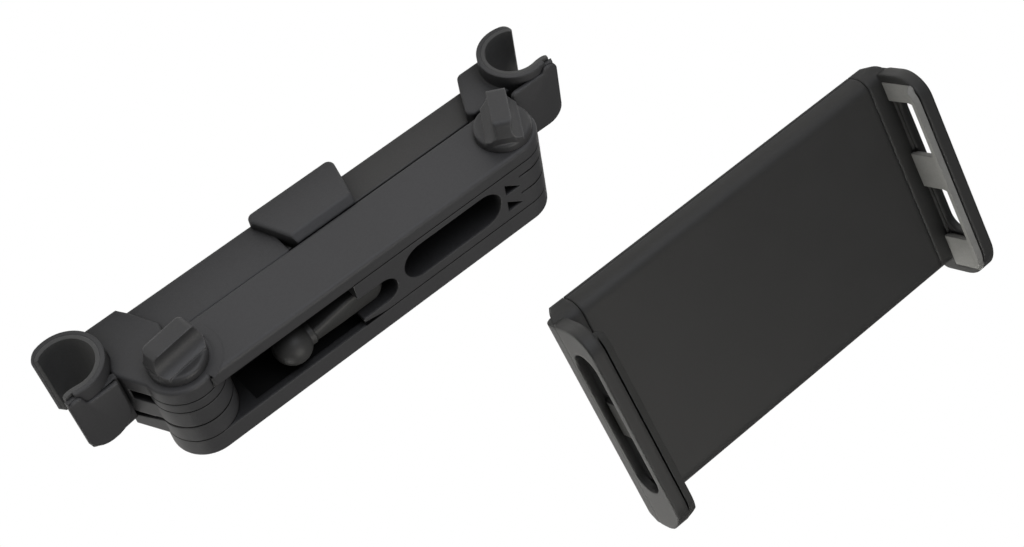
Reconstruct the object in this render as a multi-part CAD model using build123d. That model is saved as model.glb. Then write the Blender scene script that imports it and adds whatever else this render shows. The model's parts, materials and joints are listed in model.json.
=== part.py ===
from build123d import *
import os
from math import acos, atan2, cos, degrees, radians, sin

# All sizes are in millimetres. The clamp is drawn with its hub pins upright on Z, its arms along X
# and the headrest posts behind them at positive Y. It is laid on its back at the end.
# The cradle is drawn with its front face at Z = 0, its long side on X and its floor edge at Y = 0.

# Fits
slide_gap = 0.1          # between flat faces that slide on each other
round_gap = 0.4          # between round faces that pass each other
pin_gap = 0.05           # radial, between a pin and its hole
seat_gap = 0.02          # between fixed pieces that plug together

# Arms and hubs
hub_span = 97.0
hub_radius = 9.2
far_hub_radius = 8.35
arm_height = 27.2
arm_bottom = -0.7
low_plate = 6.2
top_plate = 4.3
front_eye_bottom = 18.9  # the upper arm's stepped eye at the first hub
front_eye_top = 22.4
lobe_line = 12.6         # groove between the two lower lobes of a hub
web_thick = 2.8
plate_floor = 2.2
plate_rim = 2.0
step_radius = 12.5
step_front = -4.0
edge_round = 1.0

# Inner arm
fork_reach = 54.0        # these reaches are measured back from the far hub
notch_reach = 42.6
prong_reach = 47.0
prong_tip = 7.8
notch_low = 9.0
notch_high = 17.2
window_reach = 24.7
window_height = 15.2
window_size = (30.6, 11.2)
pocket_reach = 7.7
pocket_width = 4.6
pocket_height = 3.2
pocket_depth = 3.0
groove_width = 0.5
groove_depth = 0.5

# Ball and stem
ball_radius = 5.1
ball_reach = 71.7
pin_reach = 48.0
stem_y = -4.4
stem_z = 11.6
stem_pin_radius = 1.4
knuckle_radius = 3.7
stem_thick = 3.2
stem_thin = 1.9
stem_ring = 2.9
stem_ring_width = 1.3

# Hub bolts and wing knobs
bolt_radius = 2.5
bolt_head_radius = 4.2
bolt_head_height = 3.4
bolt_head_depth = 0.6
knob_radius = 7.3
knob_base = 2.6
wing_length = 11.6
wing_belly = 14.0
wing_foot = 12.6
wing_thick = 5.4
wing_waist = 3.8
wing_scoop = 4.6
wing_skirt = 4.6
wing_height = 6.8
wing_corner = 1.8
knob_skin = 0.8
knob_turns = (8.0, 59.0)  # how far each wing stands round from the arms, in degrees

# Headrest post hooks
post_radius = 7.0
liner_thick = 1.0
hook_wall = 1.2
hook_bottom = 9.8
hook_top = 31.4
hook_y = 14.6
left_hook_x = -20.3
hook_reach = 16.7          # from the far hub to the sliding hook
mouth_angle = 52.0        # from the mouth's axis to the end of the back arm
flare_start = 10.0        # past the front of the ring, where the lip turns outward
flare_radius = 7.0
flare_angle = 30.0
liner_short = 5.0         # how many degrees earlier the soft lining ends
lip_corner = 4.5
lip_top = 1.0
lip_edge = 2.0
arm_tip_round = 2.6
panel_thick = 1.5

# Telescopic bar between the hooks
bar_left = -9.0
bar_right = 37.5
bar_front = 8.2
bar_back = 21.7
bar_bottom = 10.4
bar_top = 25.6
bar_wall = 1.9
rail_left = -6.0
rail_wall = 1.6
rail_gap = 0.1
rail_reach = 10.7         # these are measured back from the sliding hook
sleeve_back = (-3.6, 23.5)  # these are measured from the bar's mouth
sleeve_front = (2.5, 19.9)
sleeve_top = 28.6
sleeve_bottom = 8.8
sleeve_skin_front = 0.35
sleeve_skin_back = 0.7
sleeve_bevel = 1.9
sleeve_round = 1.8

# Brackets that carry the hooks
bracket_back = 22.9
neck_front = ((-8.9, -1.0), (-13.6, 7.6))   # left edge, from the hub back towards the post
neck_left = -11.6
neck_right = -3.0
neck_side = ((-1.0, 19.7), (2.6, 12.2), (1.8, 8.8))  # right edge, from the back to the hub
carrier_front = 8.4
carrier_back = 21.8
carrier_reach_front = 20.6
carrier_reach_back = 13.3
carrier_reach_right = 4.7
carrier_round = 2.0
wedge_height = 4.4
wedge_tip = 6.0

# Cradle
cradle_length = 150.0
plate_width = 79.8
plate_thick = 8.8
plate_round = 5.0
plate_skin = 2.2
jaw_base = 10.6
seam = 0.3
jaw_rise = 16.8
jaw_wall = 2.8
jaw_reach = 4.8
jaw_lip = 1.7
jaw_start = 1.5
jaw_overhang = 3.4
jaw_corner = 9.5          # at the floor end, above and below
jaw_sweep = 12.5          # at the other end, above
jaw_heel = 4.0
jaw_curl = ((0.0, 1.0), (2.35, -4.5), (5.0, -8.9))  # how the outer wall curls under, seen from its end
slot_ends = (10.8, 67.0)
slot_bottom = 2.0
slot_top = 14.2
pad_face = 4.9
pad_lip = (5.4, 7.8)
pad_bend = (13.2, 15.1)
pad_end = 3.0
arch_spans = ((11.8, 33.4), (46.8, 68.0))
arch_top = 13.0
arch_corner = 4.0
slide_width = 12.0
slide_thick = 2.4
slide_reach = 80.0
slide_pitch = 40.0
slide_plug = 4.2
jaw_skin = 2.4
pocket_start = 7.2
jaw_pockets = ((4.0, 11.0), (29.0, 51.0), (69.0, 76.0))
cover_thick = 1.6
boss_radius = 12.0
boss_height = 4.0
socket_radius = 7.9
socket_length = 13.15
socket_slots = 4
collar_radius = 10.0
collar_height = 11.0
collar_lobes = 12
neck_height = 18.75
screw_radius = 1.4
screw_head = 2.6

# Where the two pieces lie on the table
cradle_x = 112.7          # along the arms, from the first hub to the cradle's near end
cradle_drop = 95.5        # along the hub pins, from the arms' underside to the cradle's floor edge

# Derived places
far_hub_y = far_hub_radius - hub_radius
arm_back = far_hub_y + far_hub_radius
fork_tip = hub_span - fork_reach
notch_end = hub_span - notch_reach
pocket_left = hub_span - pocket_reach
stem_pin_x = hub_span - pin_reach
ball_x = hub_span - ball_reach
right_hook_x = hub_span + hook_reach
rail_right = right_hook_x - rail_reach
carrier_right = right_hook_x - carrier_reach_right
ring_radius = post_radius + liner_thick + hook_wall
table_y = hook_y + ring_radius
span_plate_bottom = arm_height - top_plate
rail_front = bar_front + bar_wall + rail_gap
rail_back = bar_back - bar_wall - rail_gap
rail_bottom = bar_bottom + bar_wall + rail_gap
rail_top = bar_top - bar_wall - rail_gap
hub_bore = bolt_radius + pin_gap
tilt = degrees(atan2(neck_height, plate_width / 2 - collar_radius))
nodes = {}


def block(x0, x1, y0, y1, z0, z1):
    """A straight block between two opposite corners."""
    return Pos((x0 + x1) / 2, (y0 + y1) / 2, (z0 + z1) / 2) * Box(x1 - x0, y1 - y0, z1 - z0)


def disc(radius, z0, z1, x=0.0, y=0.0):
    """An upright round between two heights."""
    return Pos(x, y, (z0 + z1) / 2) * Cylinder(radius, z1 - z0)


def prism(points, z0, z1):
    """An upright prism over an outline of straight sides."""
    face = make_face(Polyline(*[(x, y, z0) for x, y in points], close=True))
    return extrude(face, amount=z1 - z0, dir=(0, 0, 1))


def across(face_xz, y0, y1):
    """A prism along Y over a face drawn in X and Z."""
    return extrude(Plane(origin=(0, y0, 0), x_dir=(1, 0, 0), z_dir=(0, -1, 0)) * face_xz,
                   amount=y1 - y0, dir=(0, 1, 0))


def long_plate(z0, z1):
    """The arm's plan outline: two round ends and straight sides."""
    plate = block(0, hub_span, -hub_radius, arm_back, z0, z1)
    return plate + disc(hub_radius, z0, z1) + disc(far_hub_radius, z0, z1, hub_span, far_hub_y)


def outer_rim(part, z):
    """The edges of a part's flat face at one height."""
    face = part.faces().filter_by(Axis.Z).filter_by_position(Axis.Z, z - 0.01, z + 0.01)
    return face.sort_by(SortBy.AREA)[-1].outer_wire().edges()


def outer_arm():
    """The folding arm's channel: a top plate, a bottom plate and the web that joins them."""
    clear_eye = hub_radius + round_gap
    top = long_plate(span_plate_bottom, arm_height)
    step = disc(step_radius, front_eye_bottom + slide_gap, arm_height) & block(
        0, step_radius, step_front, arm_back, front_eye_bottom, arm_height)
    top = top + step - disc(clear_eye, front_eye_top - slide_gap, arm_height + 1)
    top = top - block(-2 * hub_radius, 0, -2 * hub_radius, 2 * hub_radius, front_eye_top, arm_height + 1)
    top = fillet(outer_rim(top, arm_height), edge_round)
    eye = disc(hub_radius, front_eye_bottom + slide_gap, front_eye_top - slide_gap)
    bottom = long_plate(arm_bottom, low_plate)
    bottom = fillet(outer_rim(bottom, arm_bottom), edge_round)
    tray_end = hub_radius + plate_rim
    bottom -= block(tray_end, hub_span - tray_end, plate_rim - hub_radius, arm_back - plate_rim,
                    plate_floor, low_plate)
    web_front = arm_back - web_thick
    web_end = hub_span - ((far_hub_radius + round_gap) ** 2 - (web_front - far_hub_y) ** 2) ** 0.5
    web = block(step_radius, web_end, web_front, arm_back, low_plate / 2, arm_height - top_plate / 2)
    arm = top + eye + bottom + web
    for x, y in ((0, 0), (hub_span, far_hub_y)):
        arm -= disc(hub_bore, arm_bottom - 1, arm_height + 1, x, y)
        head = RegularPolygon(bolt_head_radius + pin_gap, 6)
        arm -= extrude(Pos(x, y, arm_bottom) * head, amount=bolt_head_depth + bolt_head_height)
    return arm


def inner_arm():
    """The arm that folds into the channel, with its fork, window and relief pockets."""
    low = low_plate + slide_gap
    high = span_plate_bottom - slide_gap
    back = arm_back - web_thick - round_gap
    arm = block(fork_tip, hub_span, -hub_radius, back, low, high)
    arm += disc(far_hub_radius, low, high, hub_span, far_hub_y)
    notch_round = (notch_high - notch_low) / 2
    notch_mid = (notch_high + notch_low) / 2
    notch = Pos(notch_end - notch_round, notch_mid) * Circle(notch_round)
    notch += Pos((fork_tip - 2 + notch_end - notch_round) / 2, notch_mid) * Rectangle(
        notch_end - notch_round - fork_tip + 2, 2 * notch_round)
    arm -= across(notch, -hub_radius - 1, hub_radius)
    taper = [(fork_tip - 1, low - 1), (hub_span - prong_reach, low - 1), (hub_span - prong_reach, low),
             (fork_tip, prong_tip), (fork_tip - 1, prong_tip)]
    arm -= across(make_face(Polyline(*taper, close=True)), -hub_radius - 1, hub_radius)
    window = Pos(hub_span - window_reach, window_height) * SlotOverall(*window_size)
    arm -= across(window, -hub_radius - 1, hub_radius)
    for line in (lobe_line, front_eye_bottom):
        ring = disc(hub_radius + 1, line - groove_width / 2, line + groove_width / 2, hub_span, far_hub_y)
        ring -= disc(far_hub_radius - groove_depth, line - groove_width, line + groove_width, hub_span, far_hub_y)
        ring -= block(0, pocket_left + pocket_width, -hub_span, hub_span, 0, arm_height)
        arm -= ring
        foot = line - pocket_height
        corner = [(pocket_left, foot), (pocket_left + pocket_width, foot), (pocket_left, line + groove_width)]
        arm -= across(make_face(Polyline(*corner, close=True)), -hub_radius - 1, -hub_radius + pocket_depth)
    arm -= disc(hub_bore, 0, arm_height, hub_span, far_hub_y)
    arm -= disc(stem_pin_radius, low - 1, high - 2, stem_pin_x, stem_y)
    return arm


def ball_stem():
    """The ball on its tapered stem, with a knuckle on the fork's pin."""
    knuckle_z = (notch_low + notch_high) / 2
    run = stem_pin_x - ball_x
    rise = knuckle_z - stem_z
    length = (run ** 2 + rise ** 2) ** 0.5
    lean = Pos(ball_x, stem_y, stem_z) * Rot(0, degrees(atan2(run, rise)), 0)
    stem = Pos(stem_pin_x, stem_y, knuckle_z) * Sphere(knuckle_radius)
    stem += lean * Pos(0, 0, length / 2) * Cone(stem_thin, stem_thick, length)
    stem += lean * Pos(0, 0, ball_radius) * Cylinder(stem_ring, stem_ring_width)
    stem += lean * Sphere(ball_radius)
    return stem - disc(stem_pin_radius + pin_gap, 0, arm_height, stem_pin_x, stem_y)


def stem_pin():
    """The plain pin through the fork."""
    return disc(stem_pin_radius, low_plate + 2 * slide_gap, span_plate_bottom - slide_gap - 2, stem_pin_x, stem_y)


def hub_bolt(x, y):
    """A bolt held in the arm's bottom plate, with its threaded end in the knob."""
    low = arm_bottom + bolt_head_depth
    head = extrude(Pos(x, y, low) * RegularPolygon(bolt_head_radius, 6), amount=bolt_head_height - pin_gap)
    return head + disc(bolt_radius, low, arm_height + knob_base - knob_skin, x, y)


def wing_knob(x, y, turn):
    """A round base with a thumb wing that is scooped on both sides."""
    low = arm_height + slide_gap
    shoulder = arm_height + knob_base
    top = shoulder + wing_height
    belly = shoulder + wing_height / 3
    base = fillet(outer_rim(disc(knob_radius, low, shoulder), shoulder), edge_round)
    side = [(-wing_foot / 2, low), (-wing_belly / 2, belly), (-wing_length / 2, top),
            (wing_length / 2, top), (wing_belly / 2, belly), (wing_foot / 2, low)]
    outline = make_face(Polyline(*side, close=True))
    outline = fillet(outline.vertices().group_by(Axis.Y)[-1], wing_corner)
    wing = across(outline, -wing_thick / 2, wing_thick / 2)
    skirt = across(outline, -wing_skirt, wing_skirt) & disc(knob_radius, low, shoulder + wing_skirt / 2)
    knob = base + wing + skirt
    for side_sign in (-1, 1):
        scoop = Pos(0, side_sign * (wing_waist / 2 + wing_scoop), shoulder + wing_scoop) * Rot(0, 90, 0)
        knob -= scoop * Cylinder(wing_scoop, 3 * knob_radius)
    knob -= disc(hub_bore, 0, shoulder - knob_skin + seat_gap)
    return Pos(x, y, 0) * Rot(0, 0, turn) * knob


def hook_section(inner, outer, z0, z1, sweep):
    """The hook's plan outline about its post, with the mouth towards negative X."""
    middle = (inner + outer) / 2
    half = (outer - inner) / 2
    flare = flare_radius + ring_radius - middle
    turn_in = radians(-90 - flare_start)
    pivot = Vector(cos(turn_in), sin(turn_in)) * (middle + flare)
    ring = disc(outer, z0, z1) - disc(inner, z0 - 1, z1 + 1)
    tip = radians(180 - mouth_angle)
    far = 3 * outer
    mouth = [(0, 0), (far * cos(tip), far * sin(tip)), (-far, far), (-far, -far),
             (far * cos(turn_in), far * sin(turn_in))]
    ring -= prism(mouth, z0 - 1, z1 + 1)
    bend = disc(flare + half, z0, z1) - disc(flare - half, z0 - 1, z1 + 1)
    start = radians(90 - flare_start)
    stop = radians(90 - flare_start + sweep)
    bend &= prism([(0, 0), (far * cos(start), far * sin(start)), (far * cos((start + stop) / 2),
                  far * sin((start + stop) / 2)), (far * cos(stop), far * sin(stop))], z0, z1)
    return ring + Pos(pivot.X, pivot.Y, 0) * bend


def lip_trim(z0, z1):
    """A block whose mouth end has its corners rounded, one way for the lip and one for the back arm."""
    depth = 3 * ring_radius
    reach = hook_tip_reach() + edge_round / 2
    lip = Pos((depth - reach) / 2, (z0 + z1) / 2) * Rectangle(depth + reach, z1 - z0)
    lip = fillet(lip.vertices().group_by(Axis.X)[0].sort_by(Axis.Y)[0], lip_corner)
    lip = fillet(lip.vertices().group_by(Axis.X)[0].sort_by(Axis.Y)[-1], lip_edge)
    tip = ring_radius * cos(radians(mouth_angle)) + seat_gap
    back = Pos((depth - tip) / 2, (z0 + z1) / 2) * Rectangle(depth + tip, z1 - z0)
    back = fillet(back.vertices().group_by(Axis.X)[0].sort_by(Axis.Y)[-1], arm_tip_round)
    return across(lip, -depth, 0) + across(back, 0, depth)


def hook_tip_reach():
    """How far the lip's end stands out from the post's axis."""
    turn_in = radians(-90 - flare_start)
    stop = radians(90 - flare_start + flare_angle)
    middle = ring_radius - hook_wall / 2
    flare = flare_radius + hook_wall / 2
    x = cos(turn_in) * (middle + flare) + cos(stop) * flare
    return -x


def hook():
    """The hook's hard outer shell."""
    shell = hook_section(post_radius + liner_thick, ring_radius, hook_bottom, hook_top, flare_angle)
    shell = shell & lip_trim(hook_bottom, hook_top)
    reach = hook_tip_reach()
    return shell - block(-reach - 1, -reach + 2 * hook_wall, -2 * ring_radius, 0, hook_top - lip_top, hook_top + 1)


def hook_liner():
    """The soft lining that grips the post."""
    lining = hook_section(post_radius, post_radius + liner_thick, hook_bottom, hook_top, flare_angle - liner_short)
    return lining & lip_trim(hook_bottom, hook_top)


def at_left(part):
    return Pos(left_hook_x, hook_y, 0) * part


def at_right(part):
    return Pos(right_hook_x, hook_y, 0) * mirror(part, Plane.YZ)


def left_hook():
    """The hook at the fixed end, with the tongue that plugs into the bracket."""
    tongue = block(left_hook_x + ring_radius - 1, bar_left - seat_gap, hook_y - 3, hook_y + 3,
                   hook_bottom + 3, span_plate_bottom - 2)
    front = hook_y - ring_radius
    panel = [(left_hook_x, front), neck_foot(), (neck_foot()[0], neck_foot()[1] + panel_thick),
             (left_hook_x, front + 2 * hook_wall)]
    gusset = prism(panel, hook_bottom, arm_height) - disc(post_radius + liner_thick, 0, arm_height + 1,
                                                          left_hook_x, hook_y)
    return at_left(hook()) + tongue + gusset


def neck_foot():
    """Where the front panel of the fixed hook meets the bracket."""
    x, y = neck_front[1]
    return x + hook_wall / 2, y - hook_wall


def arm_bracket():
    """The moulded bracket that joins the bar's fixed end to the first hub."""
    neck = [*neck_front, (neck_left, bracket_back), (neck_right, bracket_back), *neck_side]
    low = low_plate + slide_gap
    body = prism(neck, low, arm_height) + disc(hub_radius, low, arm_height)
    body = fillet(outer_rim(body, arm_height), 0.8)
    body -= disc(step_radius + round_gap, front_eye_bottom, front_eye_top)
    groove_floor = disc(hub_radius - groove_depth, 0, arm_height)
    wedge = [(left_hook_x, lobe_line - wedge_height), (left_hook_x, lobe_line), (-wedge_tip, lobe_line)]
    body -= across(make_face(Polyline(*wedge, close=True)), -hub_radius - 1, hub_radius) - groove_floor
    ring = disc(hub_radius + 1, lobe_line - groove_width / 2, lobe_line + groove_width / 2)
    body -= ring - groove_floor
    body -= disc(hub_bore, 0, arm_height + 1)
    seat = block(bar_left - seat_gap, bar_right, bar_front - seat_gap, bar_back + seat_gap,
                 bar_bottom - seat_gap, bar_top + seat_gap)
    body -= seat - disc(hub_radius + round_gap - seat_gap, 0, arm_height)
    body -= disc(ring_radius + seat_gap, 0, arm_height + 1, left_hook_x, hook_y)
    return body - left_hook()


def tube(x0, x1, y0, y1, z0, z1, wall, corner):
    """A rectangular tube along X with rounded long edges."""
    outer = block(x0, x1, y0, y1, z0, z1)
    outer = fillet(outer.edges().filter_by(Axis.X), corner)
    inner = block(x0 - 1, x1 + 1, y0 + wall, y1 - wall, z0 + wall, z1 - wall)
    return outer - inner


def bar_housing():
    housing = tube(bar_left, bar_right, bar_front, bar_back, bar_bottom, bar_top, bar_wall, edge_round)
    return housing - disc(hub_radius + round_gap, 0, arm_height)


def sliding_rail():
    return tube(rail_left, rail_right, rail_front, rail_back, rail_bottom, rail_top, rail_wall, 0.7)


def sleeve():
    """The moulded collar over the mouth of the bar, with slanted ends."""
    front, back = bar_front - sleeve_skin_front, bar_back + sleeve_skin_back
    outline = [(bar_right + sleeve_front[0], front), (bar_right + sleeve_front[1], front),
               (bar_right + sleeve_back[1], back), (bar_right + sleeve_back[0], back)]
    collar = prism(outline, sleeve_bottom, sleeve_top)
    collar = chamfer(collar.edges().filter_by(Axis.X).group_by(Axis.Y)[0], sleeve_bevel)
    collar = fillet(collar.edges().filter_by(Axis.Z).group_by(Axis.Y)[-1], sleeve_round)
    collar = fillet(outer_rim(collar, sleeve_top), edge_round)
    collar -= block(0, bar_right + seat_gap, bar_front - seat_gap, bar_back + seat_gap,
                    bar_bottom - seat_gap, bar_top + seat_gap)
    collar -= block(0, rail_right, rail_front - rail_gap, rail_back + rail_gap, rail_bottom - rail_gap, rail_top + rail_gap)
    return collar


def hook_carrier():
    """The moulded block on the rail's end that carries the sliding hook."""
    plan = [(right_hook_x - carrier_reach_front, carrier_front), (right_hook_x - carrier_reach_back, carrier_back),
            (carrier_right, carrier_back), (carrier_right, carrier_front)]
    body = prism(plan, hook_bottom, arm_height)
    body = fillet(body.edges().filter_by(Axis.Z).group_by(Axis.X)[:2], carrier_round)
    body = fillet(outer_rim(body, arm_height), 0.8)
    panel = [(right_hook_x, hook_y - ring_radius), (carrier_right, carrier_front),
             (carrier_right, carrier_front + panel_thick), (right_hook_x, hook_y - post_radius)]
    body += prism(panel, hook_bottom, arm_height + lip_edge)
    body -= block(0, rail_right + seat_gap, rail_front - seat_gap, rail_back + seat_gap,
                  rail_bottom - seat_gap, rail_top + seat_gap)
    body -= disc(post_radius + liner_thick, 0, hook_top + 1, right_hook_x, hook_y)
    return body + at_right(hook())


def jaw_outline():
    """The end wall seen along the cradle, with its rounded corners."""
    front, back = -jaw_start, -plate_width - jaw_overhang
    wall = Pos((front + back) / 2, (jaw_rise - plate_thick) / 2) * Rectangle(front - back, jaw_rise + plate_thick)
    wall = fillet(wall.vertices().group_by(Axis.X)[-1], jaw_corner)
    wall = fillet(wall.vertices().group_by(Axis.X)[0].sort_by(Axis.Y)[-1], jaw_sweep)
    return fillet(wall.vertices().group_by(Axis.X)[0].sort_by(Axis.Y)[0], jaw_heel)


def along_length(face_yz, x0, x1):
    """A prism along X over a face drawn in Y and Z."""
    return extrude(Plane(origin=(x0, 0, 0), x_dir=(0, 1, 0), z_dir=(1, 0, 0)) * face_yz,
                   amount=x1 - x0, dir=(1, 0, 0))


def stadium(y0, y1, z0, z1):
    """A slot outline with round ends."""
    return Pos((y0 + y1) / 2, (z0 + z1) / 2) * SlotOverall(y1 - y0, z1 - z0)


def jaw_hollow():
    """The space inside the end wall's rim, seen along the cradle."""
    start = -jaw_start - jaw_wall
    stop = -plate_width - jaw_overhang + jaw_wall
    high = jaw_rise - jaw_lip
    hollow = Pos((start + stop) / 2, high / 2) * Rectangle(start - stop, high)
    ends = hollow.vertices().group_by(Axis.Y)[-1].sort_by(Axis.X)
    hollow = fillet(ends[-1], jaw_corner - jaw_lip)
    far = hollow.vertices().group_by(Axis.X)[0].sort_by(Axis.Y)[-1]
    return fillet(far, jaw_sweep - jaw_lip)


def jaw():
    """The jaw at the cradle's first end: base, slotted end wall and inward rim."""
    shell = along_length(jaw_outline(), 0, jaw_reach)
    shell -= along_length(jaw_hollow(), jaw_wall, jaw_reach + 1)
    base = block(0, jaw_base, -plate_width, 0, -plate_thick, 0)
    base = fillet(base.edges().filter_by(Axis.X).group_by(Axis.Z)[-1], plate_round)
    part = shell + base
    curl = make_face([ThreePointArc(*jaw_curl), Polyline(jaw_curl[2], (jaw_curl[0][0] - 1, jaw_curl[2][1]),
                                                         (jaw_curl[0][0] - 1, jaw_curl[0][1]), jaw_curl[0])])
    part -= across(curl, -plate_width - 2 * jaw_overhang, 1)
    for near, far in jaw_pockets:
        part -= block(pocket_start, jaw_base - jaw_skin / 2, -far, -near, -plate_thick - 1, -jaw_skin)
    for y in slide_places():
        part -= block(jaw_base - slide_plug - seat_gap, jaw_base + 1, y - slide_width / 2 - seat_gap,
                      y + slide_width / 2 + seat_gap, slide_top() - slide_thick - seat_gap, slide_top() + seat_gap)
    slot = stadium(-slot_ends[1], -slot_ends[0], slot_bottom, slot_top)
    return part - along_length(slot, -1, jaw_wall + 0.5)


def jaw_pad():
    """The soft lining inside a jaw, with an inward lip and two arched windows."""
    near, far = pad_lip
    under_rim = jaw_rise - jaw_lip - seat_gap
    profile = [(jaw_wall + seat_gap, 0), (pad_face, 0), (pad_face, pad_bend[0]), (far, pad_bend[1]), (far, jaw_rise),
               (near, jaw_rise), (near, under_rim), (jaw_wall + seat_gap, under_rim)]
    start = -jaw_start - pad_end
    stop = -plate_width - jaw_overhang + jaw_wall + seat_gap
    pad = across(make_face(Polyline(*profile, close=True)), stop, start)
    pad &= along_length(jaw_hollow(), 0, jaw_reach) + along_length(jaw_outline(), jaw_reach, 2 * far)
    for near_end, far_end in arch_spans:
        arch = Pos(-(near_end + far_end) / 2, 0) * Rectangle(far_end - near_end, 2 * arch_top)
        arch = fillet(arch.vertices().group_by(Axis.Y)[-1], arch_corner)
        pad -= along_length(arch, 0, pad_face + 0.1)
    return pad


def at_far_end(part):
    return Pos(cradle_length, 0, 0) * mirror(part, Plane.YZ)


def tray():
    """The cradle's front tray, open at the back."""
    x0, x1 = jaw_base + seam, cradle_length - jaw_base - seam
    body = block(x0, x1, -plate_width, 0, -plate_thick + cover_thick, 0)
    body = fillet(body.edges().filter_by(Axis.X).group_by(Axis.Z)[-1], plate_round)
    body -= block(x0 + plate_skin, x1 - plate_skin, -plate_width + plate_round, -plate_round,
                  -plate_thick - 1, -plate_skin)
    for y in slide_places():
        body -= block(x1 - plate_skin - 1, x1 + 1, y - slide_width / 2 - slide_gap, y + slide_width / 2 + slide_gap,
                      -plate_thick + cover_thick, slide_top() + slide_gap)
    return body


def slide_places():
    return (-plate_width / 2 - slide_pitch / 2, -plate_width / 2 + slide_pitch / 2)


def slide_top():
    return -plate_thick + cover_thick + slide_gap + slide_thick


def jaw_slides():
    """The two flat tongues that carry the moving jaw."""
    x1 = cradle_length - jaw_base + slide_plug
    low = slide_top() - slide_thick
    bars = [block(x1 - slide_reach, x1, y - slide_width / 2, y + slide_width / 2, low, slide_top())
            for y in slide_places()]
    return Compound(children=bars)


def back_cover():
    """The cover plate behind the tray, with the boss that carries the ball socket."""
    x0, x1 = jaw_base + seam, cradle_length - jaw_base - seam
    cover = block(x0, x1, -plate_width, 0, -plate_thick, -plate_thick + cover_thick)
    centre = (cradle_length / 2, -plate_width / 2)
    boss = disc(boss_radius, -plate_thick - boss_height, -plate_thick, *centre)
    boss = fillet(outer_rim(boss, -plate_thick - boss_height), 1.5)
    return cover + boss


def socket_base():
    return -plate_thick - boss_height


def ball_socket():
    """The split cup that grips the ball."""
    foot = socket_base()
    end = foot - socket_length
    x, y = cradle_length / 2, -plate_width / 2
    cup = disc(socket_radius, end, foot, x, y)
    ball_z = end + ball_radius * 0.72
    cup -= Pos(x, y, ball_z) * Sphere(ball_radius + 0.1)
    cup -= disc(ball_radius * 0.82, end - 1, ball_z, x, y)
    cup -= disc(ball_radius - 1.2, ball_z, foot - 6, x, y)
    for i in range(socket_slots):
        cut = block(0, 2 * socket_radius, -0.6, 0.6, end - 1, end + socket_length * 0.5)
        cup -= Pos(x, y, 0) * Rot(0, 0, 45 + i * 360 / socket_slots) * cut
    return cup


def socket_collar():
    """The ribbed ring nut that closes the cup on the ball."""
    low = -plate_thick - neck_height
    ring = disc(collar_radius, low, low + collar_height)
    rim = outer_rim(ring, low)
    ring = fillet(rim, 1.2)
    for i in range(collar_lobes):
        turn = Rot(0, 0, i * 360 / collar_lobes)
        ring -= turn * Pos(collar_radius + 1.1, 0, low + collar_height / 2) * Cylinder(2.0, collar_height + 2)
    ring -= disc(socket_radius + pin_gap, low + 1.6, low + collar_height + 1)
    ring -= disc(ball_radius + 1.4, low - 1, low + 3)
    return Pos(cradle_length / 2, -plate_width / 2, 0) * ring


def cover_screws():
    """Countersunk screws that hold the back cover."""
    heads = []
    for x in (jaw_base + 8, cradle_length - jaw_base - 8):
        for y in (-7.5, -plate_width + 7.5):
            heads.append(disc(screw_head, -plate_thick - 0.8, -plate_thick, x, y))
    return Compound(children=heads)


def clamp_place(part):
    """Lays the clamp on its back and sets the left post's axis at the origin."""
    middle = (hook_bottom + hook_top) / 2
    lay = Plane(origin=(0, 0, 0), x_dir=(-1, 0, 0), z_dir=(0, -1, 0)).location
    return lay * Pos(-left_hook_x, -hook_y, -middle) * part


def cradle_place(part):
    """Lays the cradle on its back edge and its collar, beside the clamp."""
    leaning = Pos(cradle_x, table_y, -cradle_drop) * Rot(90 - tilt, 0, 0) * Pos(0, 0, plate_thick) * part
    return clamp_place(leaning)


def main():
    clamp = {
        "arm_channel": outer_arm(),
        "inner_arm": inner_arm(),
        "ball_stem": ball_stem(),
        "stem_pin": stem_pin(),
        "hub_bolt_left": hub_bolt(0, 0),
        "hub_bolt_right": hub_bolt(hub_span, far_hub_y),
        "wing_knob_left": wing_knob(0, 0, knob_turns[0]),
        "wing_knob_right": wing_knob(hub_span, far_hub_y, knob_turns[1]),
        "arm_bracket": arm_bracket(),
        "left_hook": left_hook(),
        "left_hook_liner": at_left(hook_liner()),
        "bar_housing": bar_housing(),
        "bar_sleeve": sleeve(),
        "sliding_rail": sliding_rail(),
        "right_hook": hook_carrier(),
        "right_hook_liner": at_right(hook_liner()),
    }
    cradle = {
        "cradle_tray": tray(),
        "cradle_cover": back_cover(),
        "fixed_jaw": jaw(),
        "fixed_jaw_pad": jaw_pad(),
        "moving_jaw": at_far_end(jaw()),
        "moving_jaw_pad": at_far_end(jaw_pad()),
        "jaw_slides": jaw_slides(),
        "ball_socket": ball_socket(),
        "socket_collar": socket_collar(),
        "cover_screws": cover_screws(),
    }
    os.makedirs("parts", exist_ok=True)
    for name, part in clamp.items():
        export_step(clamp_place(part), f"parts/{name}.step")
    for name, part in cradle.items():
        export_step(cradle_place(part), f"parts/{name}.step")


if __name__ == "__main__":
    main()
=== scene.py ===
import bpy
import json
import math
from mathutils import Matrix, Vector


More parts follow.
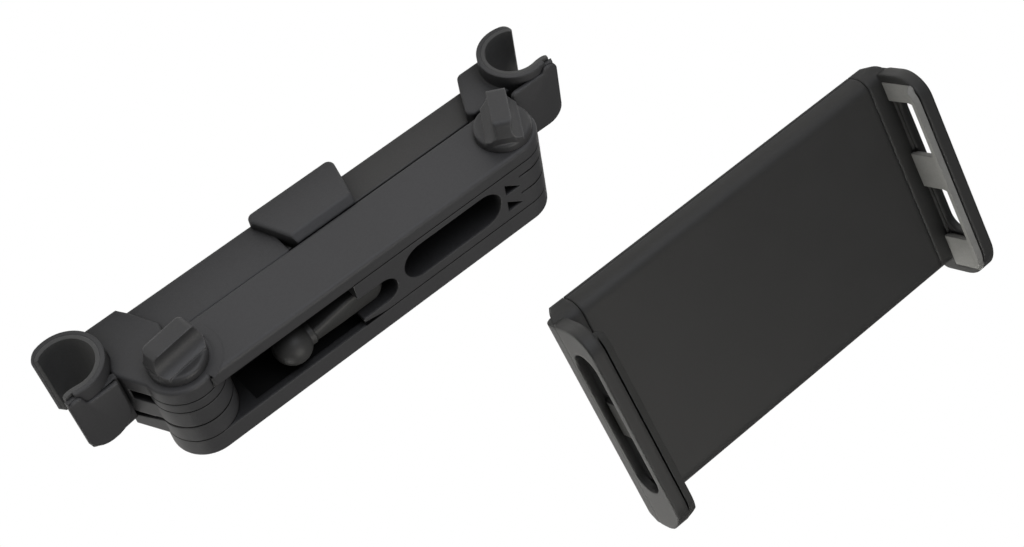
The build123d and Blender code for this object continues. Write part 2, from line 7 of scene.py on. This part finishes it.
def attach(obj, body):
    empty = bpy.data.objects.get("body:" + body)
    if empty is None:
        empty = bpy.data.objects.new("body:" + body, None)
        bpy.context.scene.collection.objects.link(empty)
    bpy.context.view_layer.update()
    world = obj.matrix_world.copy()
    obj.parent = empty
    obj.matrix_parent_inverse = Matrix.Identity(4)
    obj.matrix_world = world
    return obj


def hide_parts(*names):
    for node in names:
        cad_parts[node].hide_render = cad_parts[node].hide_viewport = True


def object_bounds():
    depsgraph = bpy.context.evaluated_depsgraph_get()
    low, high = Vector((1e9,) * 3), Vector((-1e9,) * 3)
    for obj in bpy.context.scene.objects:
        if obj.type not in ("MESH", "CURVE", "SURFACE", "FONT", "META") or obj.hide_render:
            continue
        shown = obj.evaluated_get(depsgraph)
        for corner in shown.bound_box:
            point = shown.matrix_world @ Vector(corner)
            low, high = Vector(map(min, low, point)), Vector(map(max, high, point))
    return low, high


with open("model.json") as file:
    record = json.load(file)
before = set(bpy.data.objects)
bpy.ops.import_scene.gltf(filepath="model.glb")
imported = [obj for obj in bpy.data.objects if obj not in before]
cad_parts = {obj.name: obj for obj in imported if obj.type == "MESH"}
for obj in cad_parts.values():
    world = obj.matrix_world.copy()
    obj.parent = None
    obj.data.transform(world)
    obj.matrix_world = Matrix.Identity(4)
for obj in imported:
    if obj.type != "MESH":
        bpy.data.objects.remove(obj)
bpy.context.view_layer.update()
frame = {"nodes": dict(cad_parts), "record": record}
nodes = frame["nodes"]
print("frame loaded:", len(nodes), "nodes")


# camera at the photograph's angle
camValues = {"place": (0.0327, -0.3251, 0.2532), "right": (-0.759, 0.114, 0.641),
             "up": (-0.573, -0.587, -0.573), "lens": 60.5, "sensor": 36.0, "nearest": 0.01}
camData = bpy.data.cameras.new("photoCamera")
camData.lens = camValues["lens"]
camData.sensor_width = camValues["sensor"]
camData.clip_start = camValues["nearest"]
cam = bpy.data.objects.new("photoCamera", camData)
bpy.context.collection.objects.link(cam)
right = Vector(camValues["right"]).normalized()
up = Vector(camValues["up"])
up = (up - right * up.dot(right)).normalized()
back = right.cross(up)
cam.matrix_world = Matrix((
    (right.x, up.x, back.x, camValues["place"][0]),
    (right.y, up.y, back.y, camValues["place"][1]),
    (right.z, up.z, back.z, camValues["place"][2]),
    (0, 0, 0, 1)))
bpy.context.scene.camera = cam
bpy.context.scene.view_settings.view_transform = "Standard"
print("camera placed")


# the shader group that all the plastics and rubbers share
groupValues = {
    "grainDetail": 3.0, "grainHeight": 0.00012, "cellShare": 0.6,      # fine moulded grain
    "bevelSamples": 4, "edgeDots": (0.99, 0.75),                       # worn edges, lightened also as a painted highlight
    "patchScale": 60.0, "patchDetail": 5.0, "patchRange": (0.35, 0.65), "patchRough": 0.12,
    "speckRange": (0.3, 0.8), "speckTones": (0.93, 1.08),
    # painted shade: ambient occlusion darkens the colour in hollows and between parts
    "hollowShadeSamples": 6, "hollowShadeRange": (0.25, 0.65),                   # darker hollows
}
groupInputs = {
    "Color": (0.04, 0.04, 0.04, 1), "Edge Color": (0.12, 0.12, 0.12, 1), "Edge Width": 0.0008,
    "Edge Amount": 0.5, "Grain Scale": 1800.0, "Grain Depth": 0.3, "Roughness": 0.5, "Dust": 0.1,
    "Hollow Shade Reach": 0.03, "Hollow Shade Tone": 0.04,
}


def mathNode(tree, operation, kind="ShaderNodeMath"):
    node = tree.nodes.new(kind)
    node.operation = operation
    return node


def rangeNode(tree, fromRange, toRange=(0.0, 1.0)):
    node = tree.nodes.new("ShaderNodeMapRange")
    node.inputs["From Min"].default_value, node.inputs["From Max"].default_value = fromRange
    node.inputs["To Min"].default_value, node.inputs["To Max"].default_value = toRange
    return node


def noiseNode(tree, coords, detail):
    node = tree.nodes.new("ShaderNodeTexNoise")
    node.inputs["Detail"].default_value = detail
    tree.links.new(coords.outputs["Object"], node.inputs["Vector"])
    return node


def mouldedGroup(values):
    tree = bpy.data.node_groups.new("mouldedSurface", "ShaderNodeTree")
    for name, value in groupInputs.items():
        kind = "NodeSocketColor" if isinstance(value, tuple) else "NodeSocketFloat"
        tree.interface.new_socket(name=name, in_out="INPUT", socket_type=kind).default_value = value
    for name, kind in (("Color", "Color"), ("Roughness", "Float"), ("Normal", "Vector")):
        tree.interface.new_socket(name=name, in_out="OUTPUT", socket_type="NodeSocket" + kind)
    n, link = tree.nodes, tree.links.new
    gin = n.new("NodeGroupInput")
    gout = n.new("NodeGroupOutput")
    coords = n.new("ShaderNodeTexCoord")

    # grain, as a bump over rounded edges
    grain = noiseNode(tree, coords, values["grainDetail"])
    link(gin.outputs["Grain Scale"], grain.inputs["Scale"])
    cells = n.new("ShaderNodeTexVoronoi")
    cells.feature = "SMOOTH_F1"
    link(coords.outputs["Object"], cells.inputs["Vector"])
    link(gin.outputs["Grain Scale"], cells.inputs["Scale"])
    grainMix = mathNode(tree, "MULTIPLY_ADD")
    grainMix.inputs[1].default_value = values["cellShare"]
    link(cells.outputs["Distance"], grainMix.inputs[0])
    link(grain.outputs["Fac"], grainMix.inputs[2])
    bevel = n.new("ShaderNodeBevel")
    bevel.samples = values["bevelSamples"]
    link(gin.outputs["Edge Width"], bevel.inputs["Radius"])
    bump = n.new("ShaderNodeBump")
    bump.inputs["Distance"].default_value = values["grainHeight"]
    link(gin.outputs["Grain Depth"], bump.inputs["Strength"])
    link(grainMix.outputs["Value"], bump.inputs["Height"])
    link(bevel.outputs["Normal"], bump.inputs["Normal"])

    # edge wear and a painted edge highlight, in patches
    geometry = n.new("ShaderNodeNewGeometry")
    dot = mathNode(tree, "DOT_PRODUCT", "ShaderNodeVectorMath")
    link(bevel.outputs["Normal"], dot.inputs[0])
    link(geometry.outputs["Normal"], dot.inputs[1])
    edge = rangeNode(tree, values["edgeDots"])
    link(dot.outputs["Value"], edge.inputs["Value"])
    patches = noiseNode(tree, coords, values["patchDetail"])
    patches.inputs["Scale"].default_value = values["patchScale"]
    broken = rangeNode(tree, values["patchRange"])
    link(patches.outputs["Fac"], broken.inputs["Value"])
    wearAndHighlight = mathNode(tree, "MULTIPLY")
    link(edge.outputs["Result"], wearAndHighlight.inputs[0])
    link(broken.outputs["Result"], wearAndHighlight.inputs[1])
    wearAndHighlightAmount = mathNode(tree, "MULTIPLY")
    link(wearAndHighlight.outputs["Value"], wearAndHighlightAmount.inputs[0])
    link(gin.outputs["Edge Amount"], wearAndHighlightAmount.inputs[1])
    tone = n.new("ShaderNodeMix")
    tone.data_type = "RGBA"
    link(wearAndHighlightAmount.outputs["Value"], tone.inputs["Factor"])
    link(gin.outputs["Color"], tone.inputs["A"])
    link(gin.outputs["Edge Color"], tone.inputs["B"])

    # specks and dust lift the colour; painted shade in the hollows, from ambient occlusion, lowers it
    speckle = rangeNode(tree, values["speckRange"], values["speckTones"])
    link(grain.outputs["Fac"], speckle.inputs["Value"])
    dustLift = mathNode(tree, "MULTIPLY_ADD")
    link(broken.outputs["Result"], dustLift.inputs[0])
    link(gin.outputs["Dust"], dustLift.inputs[1])
    link(speckle.outputs["Result"], dustLift.inputs[2])
    # painted shade: ambient occlusion darkens the colour where hollows would lie in shade
    hollow = n.new("ShaderNodeAmbientOcclusion")
    hollow.samples = values["hollowShadeSamples"]
    link(gin.outputs["Hollow Shade Reach"], hollow.inputs["Distance"])
    hollowShadeTone = rangeNode(tree, values["hollowShadeRange"])
    link(hollow.outputs["AO"], hollowShadeTone.inputs["Value"])
    link(gin.outputs["Hollow Shade Tone"], hollowShadeTone.inputs["To Min"])
    level = mathNode(tree, "MULTIPLY")
    link(dustLift.outputs["Value"], level.inputs[0])
    link(hollowShadeTone.outputs["Result"], level.inputs[1])
    shade = mathNode(tree, "SCALE", "ShaderNodeVectorMath")
    link(tone.outputs["Result"], shade.inputs[0])
    link(level.outputs["Value"], shade.inputs["Scale"])
    rough = mathNode(tree, "MULTIPLY_ADD")
    rough.inputs[1].default_value = values["patchRough"]
    link(patches.outputs["Fac"], rough.inputs[0])
    link(gin.outputs["Roughness"], rough.inputs[2])
    link(shade.outputs["Vector"], gout.inputs["Color"])
    link(rough.outputs["Value"], gout.inputs["Roughness"])
    link(bump.outputs["Normal"], gout.inputs["Normal"])
    return tree


moulded = mouldedGroup(groupValues)


def mouldedMaterial(name, values):
    mat = bpy.data.materials.new(name)
    mat.use_nodes = True
    n, link = mat.node_tree.nodes, mat.node_tree.links.new
    surface = n["Principled BSDF"]
    group = n.new("ShaderNodeGroup")
    group.node_tree = moulded
    for key, value in values.items():
        if key == "Specular":
            surface.inputs["Specular IOR Level"].default_value = value
        else:
            group.inputs[key].default_value = value
    link(group.outputs["Color"], surface.inputs["Base Color"])
    link(group.outputs["Roughness"], surface.inputs["Roughness"])
    link(group.outputs["Normal"], surface.inputs["Normal"])
    mat.diffuse_color = values["Color"]
    return mat


plasticValues = {
    "hard_plastic": {
        "Color": (0.034, 0.034, 0.0358, 1), "Edge Color": (0.1, 0.1, 0.1, 1), "Edge Width": 0.0008,
        "Edge Amount": 0.4, "Grain Scale": 1700.0, "Grain Depth": 0.16, "Roughness": 0.46,
        "Specular": 0.42, "Dust": 0.1},
    "cradle_plastic": {
        "Color": (0.0185, 0.0185, 0.0181, 1), "Edge Color": (0.07, 0.07, 0.069, 1), "Edge Width": 0.0018,
        "Edge Amount": 0.3, "Grain Scale": 2200.0, "Grain Depth": 0.12, "Roughness": 0.46,
        "Specular": 0.4, "Dust": 0.08},
    # knob edges lightened strongly: wear and painted highlight
    "knob_plastic": {
        "Color": (0.027, 0.027, 0.028, 1), "Edge Color": (0.2, 0.2, 0.2, 1), "Edge Width": 0.0006,
        "Edge Amount": 0.8, "Grain Scale": 1600.0, "Grain Depth": 0.3, "Roughness": 0.42,
        "Specular": 0.45, "Dust": 0.15},
    "soft_rubber": {
        "Color": (0.06, 0.06, 0.059, 1), "Edge Color": (0.2, 0.2, 0.2, 1), "Edge Width": 0.0004,
        "Edge Amount": 0.6, "Grain Scale": 1300.0, "Grain Depth": 0.2, "Roughness": 0.6,
        "Specular": 0.3, "Dust": 0.2, "Hollow Shade Tone": 0.75},
    # painted light: the pad rubber's light grey stands for the moving jaw's pads lit from the side; the
    # fixed jaw's pad gets a painted-shade copy below
    "pad_rubber": {
        "Color": (0.17, 0.17, 0.163, 1), "Edge Color": (0.16, 0.16, 0.155, 1), "Edge Width": 0.0005,
        "Edge Amount": 0.4, "Grain Scale": 1300.0, "Grain Depth": 0.2, "Roughness": 0.55,
        "Specular": 0.35, "Dust": 0.2, "Hollow Shade Tone": 0.8},
    "ball_plastic": {
        "Color": (0.036, 0.036, 0.035, 1), "Edge Color": (0.08, 0.08, 0.08, 1), "Edge Width": 0.0003,
        "Edge Amount": 0.2, "Grain Scale": 2500.0, "Grain Depth": 0.08, "Roughness": 0.42,
        "Specular": 0.3, "Dust": 0.05, "Hollow Shade Tone": 0.3},
    "rail_plastic": {
        "Color": (0.036, 0.035, 0.034, 1), "Edge Color": (0.09, 0.09, 0.09, 1), "Edge Width": 0.0004,
        "Edge Amount": 0.4, "Grain Scale": 2200.0, "Grain Depth": 0.12, "Roughness": 0.42,
        "Specular": 0.4, "Dust": 0.05, "Hollow Shade Tone": 0.3},
}
materials = {name: mouldedMaterial(name, values) for name, values in plasticValues.items()}


# zinc plated steel of the bolts, the pin and the screws
steelValues = {"color": (0.45, 0.45, 0.47, 1), "blotch": 900.0, "detail": 6.0, "rough": (0.25, 0.5),
               "bump": 0.2, "height": 0.0001}


def steelMaterial(values):
    mat = bpy.data.materials.new("zinc_steel")
    mat.use_nodes = True
    tree = mat.node_tree
    n, link = tree.nodes, tree.links.new
    surface = n["Principled BSDF"]
    surface.inputs["Base Color"].default_value = values["color"]
    surface.inputs["Metallic"].default_value = 1.0
    blotch = noiseNode(tree, n.new("ShaderNodeTexCoord"), values["detail"])
    blotch.inputs["Scale"].default_value = values["blotch"]
    rough = rangeNode(tree, (0.0, 1.0), values["rough"])
    link(blotch.outputs["Fac"], rough.inputs["Value"])
    link(rough.outputs["Result"], surface.inputs["Roughness"])
    bump = n.new("ShaderNodeBump")
    bump.inputs["Strength"].default_value = values["bump"]
    bump.inputs["Distance"].default_value = values["height"]
    link(blotch.outputs["Fac"], bump.inputs["Height"])
    link(bump.outputs["Normal"], surface.inputs["Normal"])
    return mat


materials["zinc_steel"] = steelMaterial(steelValues)

slotOf = {part["node"]: part["material_slot"] for part in frame["record"]["subparts"]}
for name, obj in nodes.items():
    obj.data.materials.clear()
    obj.data.materials.append(materials[slotOf[name]])

# the fixed jaw's pad lies in shade in the photograph
shadePadValues = {**plasticValues["pad_rubber"], "Color": (0.03, 0.03, 0.029, 1),
                  "Edge Color": (0.1, 0.1, 0.097, 1), "Hollow Shade Tone": 0.1, "Specular": 0.12}
nodes["fixed_jaw_pad"].data.materials[0] = mouldedMaterial("pad_rubber_shade", shadePadValues)
print("materials:", len(materials))


# the clamp's and the cradle's own millimetres, turned into the row's metres
placeValues = {"hook": (-20.3, 20.6, 14.6), "end": 112.7, "table": 23.8, "drop": 95.5, "thick": 8.8,
               "tilt": math.atan2(18.75, 29.9), "length": 150.0}
hookX, hookZ, hookY = placeValues["hook"]
clampPlace = Matrix.Scale(0.001, 4) @ Matrix((
    (-1, 0, 0, hookX),
    (0, 0, -1, hookZ),
    (0, -1, 0, hookY),
    (0, 0, 0, 1)))
sine, cosine = math.sin(placeValues["tilt"]), math.cos(placeValues["tilt"])
cradlePlace = clampPlace @ Matrix((
    (1, 0, 0, placeValues["end"]),
    (0, sine, -cosine, placeValues["table"] - placeValues["thick"] * cosine),
    (0, cosine, sine, placeValues["thick"] * sine - placeValues["drop"]),
    (0, 0, 0, 1)))
acrossY = Matrix(((1, 0, 0, 0), (0, 0, -1, 0), (0, 1, 0, 0), (0, 0, 0, 1)))   # x, y drawing onto x, z


def onlySelect(*objects):
    bpy.ops.object.select_all(action="DESELECT")
    for obj in objects:
        obj.select_set(True)
    bpy.context.view_layer.objects.active = objects[0]


def editAll(obj, mode="VERT"):
    onlySelect(obj)
    bpy.ops.object.mode_set(mode="EDIT")
    bpy.ops.mesh.select_mode(type=mode)
    bpy.ops.mesh.select_all(action="SELECT")


# corner steps, rim segments and the angle under which faces shade smooth, unless a piece says otherwise
plateValues = {"steps": 6, "segments": 3, "profile": 0.5, "level": 1e-6, "smooth": 35}


# corners are x, y, radius; a radius of 0 leaves the corner sharp
def roundedOutline(corners, steps):
    points = []
    for i, (x, y, radius) in enumerate(corners):
        here = Vector((x, y))
        before = (Vector(corners[i - 1][:2]) - here).normalized()
        after = (Vector(corners[(i + 1) % len(corners)][:2]) - here).normalized()
        if radius <= 0:
            points.append(here)
            continue
        half = math.acos(max(-1, min(1, before.dot(after)))) / 2
        reach = radius / math.tan(half)
        middle = here + (before + after).normalized() * (radius / math.sin(half))
        start = here + before * reach - middle
        stop = here + after * reach - middle
        turn = start.angle_signed(stop)
        for k in range(steps + 1):
            points.append(middle + Matrix.Rotation(-turn * k / steps, 2) @ start)
    return points


# a plate drawn flat, pushed up by its depth, with its rims rounded
def plateFrom(name, corners, depth, rounding=0.0, steps=plateValues["steps"]):
    points = roundedOutline(corners, steps)
    bpy.ops.object.select_all(action="DESELECT")
    bpy.ops.mesh.primitive_circle_add(vertices=len(points), radius=1, fill_type="NGON")
    obj = bpy.context.object
    obj.name = name
    for vert, point in zip(obj.data.vertices, points):
        vert.co = (point.x, point.y, 0)
    editAll(obj, "FACE")
    bpy.ops.mesh.extrude_region_move(TRANSFORM_OT_translate={"value": (0, 0, depth)})
    bpy.ops.mesh.select_all(action="SELECT")
    bpy.ops.mesh.normals_make_consistent(inside=False)
    if rounding > 0:
        bpy.ops.mesh.select_all(action="DESELECT")
        bpy.ops.mesh.select_mode(type="EDGE")
        bpy.ops.object.mode_set(mode="OBJECT")
        for edge in obj.data.edges:
            a, b = (obj.data.vertices[i].co for i in edge.vertices)
            edge.select = abs(a.z - b.z) < plateValues["level"]
        bpy.ops.object.mode_set(mode="EDIT")
        bpy.ops.mesh.bevel(offset=rounding, segments=plateValues["segments"], profile=plateValues["profile"])
    bpy.ops.object.mode_set(mode="OBJECT")
    return obj


def finishPiece(obj, place, body, slot, smooth=plateValues["smooth"], flip=False):
    obj.data.transform(place)
    if flip:
        obj.data.flip_normals()
    obj.data.materials.clear()
    obj.data.materials.append(materials[slot])
    onlySelect(obj)
    bpy.ops.object.shade_smooth_by_angle(angle=math.radians(smooth))
    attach(obj, body)


# the ball's lever, a flat tapered bar with a round end in the fork, and the ball with its neck
leverValues = {
    "outline": [(28.5, 9.7, 0.6), (38.0, 9.3, 8), (49.4, 9.35, 3.5), (52.7, 13.1, 3.3),
                (49.4, 16.8, 3.5), (40.0, 15.6, 8), (28.5, 13.5, 0.6)],
    "thick": 5.0, "rounding": 1.1, "middle": -4.4,
    "ball": (25.3, -4.4, 11.6), "radius": 5.1, "segments": 48, "rings": 24, "neckFrom": 0.8, "neck": 1.4,
}
lever = plateFrom("ballLever", leverValues["outline"], leverValues["thick"], leverValues["rounding"])
lever.data.transform(Matrix.Translation((0, leverValues["middle"] + leverValues["thick"] / 2, 0)) @ acrossY)
bpy.ops.object.select_all(action="DESELECT")
bpy.ops.mesh.primitive_uv_sphere_add(segments=leverValues["segments"], ring_count=leverValues["rings"],
                                     radius=leverValues["radius"])
leverBall = bpy.context.object
leverBall.data.transform(Matrix.Rotation(math.pi / 2, 4, "Y"))
editAll(leverBall, "FACE")
bpy.ops.mesh.select_all(action="DESELECT")
bpy.ops.object.mode_set(mode="OBJECT")
for face in leverBall.data.polygons:
    face.select = face.center.x > leverValues["radius"] * leverValues["neckFrom"]
bpy.ops.object.mode_set(mode="EDIT")
bpy.ops.mesh.extrude_region_move(TRANSFORM_OT_translate={"value": (leverValues["neck"], 0, 0)})
bpy.ops.object.mode_set(mode="OBJECT")
leverBall.data.transform(Matrix.Translation(leverValues["ball"]))
onlySelect(lever, leverBall)
bpy.ops.object.join()
finishPiece(lever, clampPlace, "ball_stem", "ball_plastic")
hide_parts("ball_stem")
print("lever made")


# front panels of the two hooks, from the lip's end to the bracket or the carrier
panelValues = {
    "left": {"outline": [(-25.95, 10.0, 5.0), (-13.5, 10.0, 7.2), (-13.5, 27.1, 0.4), (-21.6, 27.1, 1.2),
                         (-22.4, 30.3, 0.8), (-25.95, 30.3, 1.6)],
             "front": (4.75, 6.0), "rounding": 0.35, "body": "clamp_base"},
    "right": {"outline": [(104.9, 10.2, 5.5), (119.8, 9.85, 4.5), (119.8, 30.2, 2.4), (115.9, 30.2, 0.8),
                          (115.0, 28.9, 1.0), (105.2, 28.9, 1.5)],
              "front": (4.75, 6.0), "rounding": 0.35, "body": "rail"},
}
for side, values in panelValues.items():
    near, far = values["front"]
    panel = plateFrom(side + "HookPanel", values["outline"], far - near, values["rounding"])
    panel.data.transform(Matrix.Translation((0, far, 0)) @ acrossY)
    finishPiece(panel, clampPlace, values["body"], "hard_plastic")
print("hook panels made")


# the sill under each jaw's slot, which carries the end wall down before it curls under
sillValues = {
    "ends": (-1.9, -83.0), "steps": 10,
    "outline": [(0.0, 1.0, 0), (0.0, -6.2, 3.4), (4.2, -6.6, 0), (3.4, 1.0, 0)],
    "cut": (0, -77.5, -6.6), "cutNormal": (0, -0.72, -0.69),
    "bodies": {"near": "clamp_base", "far": "moving_jaw"},
}
farEnd = Matrix.Translation((placeValues["length"], 0, 0)) @ Matrix.Diagonal((-1, 1, 1, 1))
for side, body in sillValues["bodies"].items():
    start, stop = sillValues["ends"]
    sill = plateFrom(side + "JawSill", sillValues["outline"], start - stop, steps=sillValues["steps"])
    sill.data.transform(Matrix.Translation((0, start, 0)) @ acrossY)
    editAll(sill)
    bpy.ops.mesh.bisect(plane_co=sillValues["cut"], plane_no=sillValues["cutNormal"],
                        use_fill=True, clear_outer=True)
    bpy.ops.object.mode_set(mode="OBJECT")
    if side == "far":
        sill.data.transform(farEnd)
    finishPiece(sill, cradlePlace, body, "cradle_plastic", flip=side == "far")
print("jaw sills made")


# painted shadow: near-black bands in the seams between the lobes of each hub and along the folded arm
seamValues = {
    "proud": 0.02, "high": 0.3, "deep": 0.3, "steps": 72,
    "hubs": {"near": {"axis": (0.0, 0.0), "radius": 9.2, "heights": (6.25, 12.6, 18.95, 22.45),
                      "lines": (), "body": "clamp_base"},
             "far": {"axis": (97.0, -0.85), "radius": 8.35, "heights": (6.25, 12.6, 18.9, 22.85),
                     "lines": (6.25, 22.85), "body": "inner_arm"}},
    "span": (43.2, 97.0), "front": -9.2,
    "shadow": {"Color": (0.006, 0.006, 0.006, 1), "Edge Amount": 0.0, "Specular": 0.05, "Dust": 0.0},
}
seamMat = mouldedMaterial("seamShadow", {**plasticValues["hard_plastic"], **seamValues["shadow"]})


def spunBand(radius, values):
    bpy.ops.object.select_all(action="DESELECT")
    bpy.ops.mesh.primitive_plane_add(size=1)
    band = bpy.context.object
    band.data.transform(Matrix.Translation((radius + values["proud"] - values["deep"] / 2, 0, 0)) @ acrossY
                        @ Matrix.Diagonal((values["deep"], values["high"], 1, 1)))
    editAll(band, "EDGE")
    bpy.ops.mesh.delete(type="ONLY_FACE")
    bpy.ops.mesh.select_all(action="SELECT")
    bpy.ops.mesh.spin(steps=values["steps"], angle=2 * math.pi, center=(0, 0, 0), axis=(0, 0, 1))
    bpy.ops.mesh.select_all(action="SELECT")
    bpy.ops.mesh.normals_make_consistent(inside=False)
    bpy.ops.object.mode_set(mode="OBJECT")
    return band


def seamShadowStrip(height, values):
    start, stop = values["span"]
    half = values["high"] / 2
    corners = [(start, -half, 0), (stop, -half, 0), (stop, half, 0), (start, half, 0)]
    strip = plateFrom("armSeamShadow", corners, values["deep"])
    inside = values["front"] - values["proud"] + values["deep"]
    strip.data.transform(Matrix.Translation((0, inside, height)) @ acrossY)
    return strip


for name, hub in seamValues["hubs"].items():
    seams = []
    for height in hub["heights"]:
        seams.append(spunBand(hub["radius"], seamValues))
        seams[-1].data.transform(Matrix.Translation((*hub["axis"], height)))
    seams += [seamShadowStrip(height, seamValues) for height in hub["lines"]]
    onlySelect(*seams)
    bpy.ops.object.join()
    seams[0].name = name + "HubSeamShadows"
    finishPiece(seams[0], clampPlace, hub["body"], "hard_plastic")
    seams[0].data.materials[0] = seamMat

# the arm's inner edge round the first hub, which closes the gap there
edgeValues = {"inner": 8.2, "outer": 10.7, "from": -71, "to": 50, "steps": 24, "bottom": 27.21,
              "top": 27.24, "smooth": 40}
sweep = edgeValues["to"] - edgeValues["from"]
turns = [math.radians(edgeValues["from"] + sweep * i / edgeValues["steps"])
         for i in range(edgeValues["steps"] + 1)]
rim = [(math.cos(t) * edgeValues["outer"], math.sin(t) * edgeValues["outer"], 0) for t in turns]
rim += [(math.cos(t) * edgeValues["inner"], math.sin(t) * edgeValues["inner"], 0) for t in reversed(turns)]
hubEdge = plateFrom("hubEdge", rim, edgeValues["top"] - edgeValues["bottom"])
hubEdge.data.transform(Matrix.Translation((0, 0, edgeValues["bottom"])))
finishPiece(hubEdge, clampPlace, "channel_arm", "hard_plastic", edgeValues["smooth"])
print("seams made")


# white floor, seen as plain white and lighting the part softly from below
low = Vector(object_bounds()[0])
high = Vector(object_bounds()[1])
middle = (low + high) / 2
floorValues = {"size": 3.0, "color": (0.86, 0.86, 0.86, 1), "roughness": 0.9,
               "lift": 0.45, "liftColor": (1.0, 0.99, 0.96, 1), "seen": 1.0}
bpy.ops.object.select_all(action="DESELECT")
bpy.ops.mesh.primitive_plane_add(size=floorValues["size"], location=(0, 0, 0))
floor = bpy.context.object
floor.name = "floor"
floor.data.transform(Matrix.Translation((middle.x, middle.y, low.z)))
floorMat = bpy.data.materials.new("floorPaper")
floorMat.use_nodes = True
n, link = floorMat.node_tree.nodes, floorMat.node_tree.links.new
paper = n["Principled BSDF"]
paper.inputs["Base Color"].default_value = floorValues["color"]
paper.inputs["Roughness"].default_value = floorValues["roughness"]
paper.inputs["Specular IOR Level"].default_value = 0.0
paper.inputs["Emission Color"].default_value = floorValues["liftColor"]
paper.inputs["Emission Strength"].default_value = floorValues["lift"]
rays = n.new("ShaderNodeLightPath")
glow = n.new("ShaderNodeEmission")
glow.inputs["Color"].default_value = (1, 1, 1, 1)
glow.inputs["Strength"].default_value = floorValues["seen"]
swap = n.new("ShaderNodeMixShader")
link(rays.outputs["Is Camera Ray"], swap.inputs["Fac"])
link(paper.outputs["BSDF"], swap.inputs[1])
link(glow.outputs["Emission"], swap.inputs[2])
link(swap.outputs["Shader"], n["Material Output"].inputs["Surface"])
floor.data.materials.append(floorMat)

# white world, dim as a light
worldValues = {"light": 0.16, "seen": 1.0}
world = bpy.data.worlds.new("studio")
bpy.context.scene.world = world
world.use_nodes = True
n, link = world.node_tree.nodes, world.node_tree.links.new
backdrop = n["Background"]
backdrop.inputs["Color"].default_value = (1, 1, 1, 1)
rays = n.new("ShaderNodeLightPath")
strength = rangeNode(world.node_tree, (0.0, 1.0), (worldValues["light"], worldValues["seen"]))
link(rays.outputs["Is Camera Ray"], strength.inputs["Value"])
link(strength.outputs["Result"], backdrop.inputs["Strength"])

# lamps aim at the middle of the part unless they have an aim of their own
lightValues = {
    "key": {"place": (-0.25, -0.95, 0.42), "size": 0.7, "power": 5.0, "color": (0.92, 0.94, 1.0)},
    "top": {"place": (-0.1, 0.1, 0.95), "size": 0.5, "power": 3.5, "color": (1.0, 0.97, 0.92)},
    "side": {"place": (0.25, 0.46, 0.2), "size": 0.2, "power": 0.2, "color": (1.0, 0.99, 0.95),
             "spread": 42.0, "aim": (-0.22, 0.14, 0.03)},
}
for name, values in lightValues.items():
    data = bpy.data.lights.new(name, "AREA")
    data.size = values["size"]
    data.energy = values["power"]
    data.color = values["color"]
    data.spread = math.radians(values.get("spread", 180.0))
    lamp = bpy.data.objects.new(name, data)
    bpy.context.collection.objects.link(lamp)
    lamp.location = values["place"]
    aim = Vector(values.get("aim", middle))
    lamp.rotation_euler = (Vector(values["place"]) - aim).to_track_quat("Z", "Y").to_euler()
print("floor and light placed")
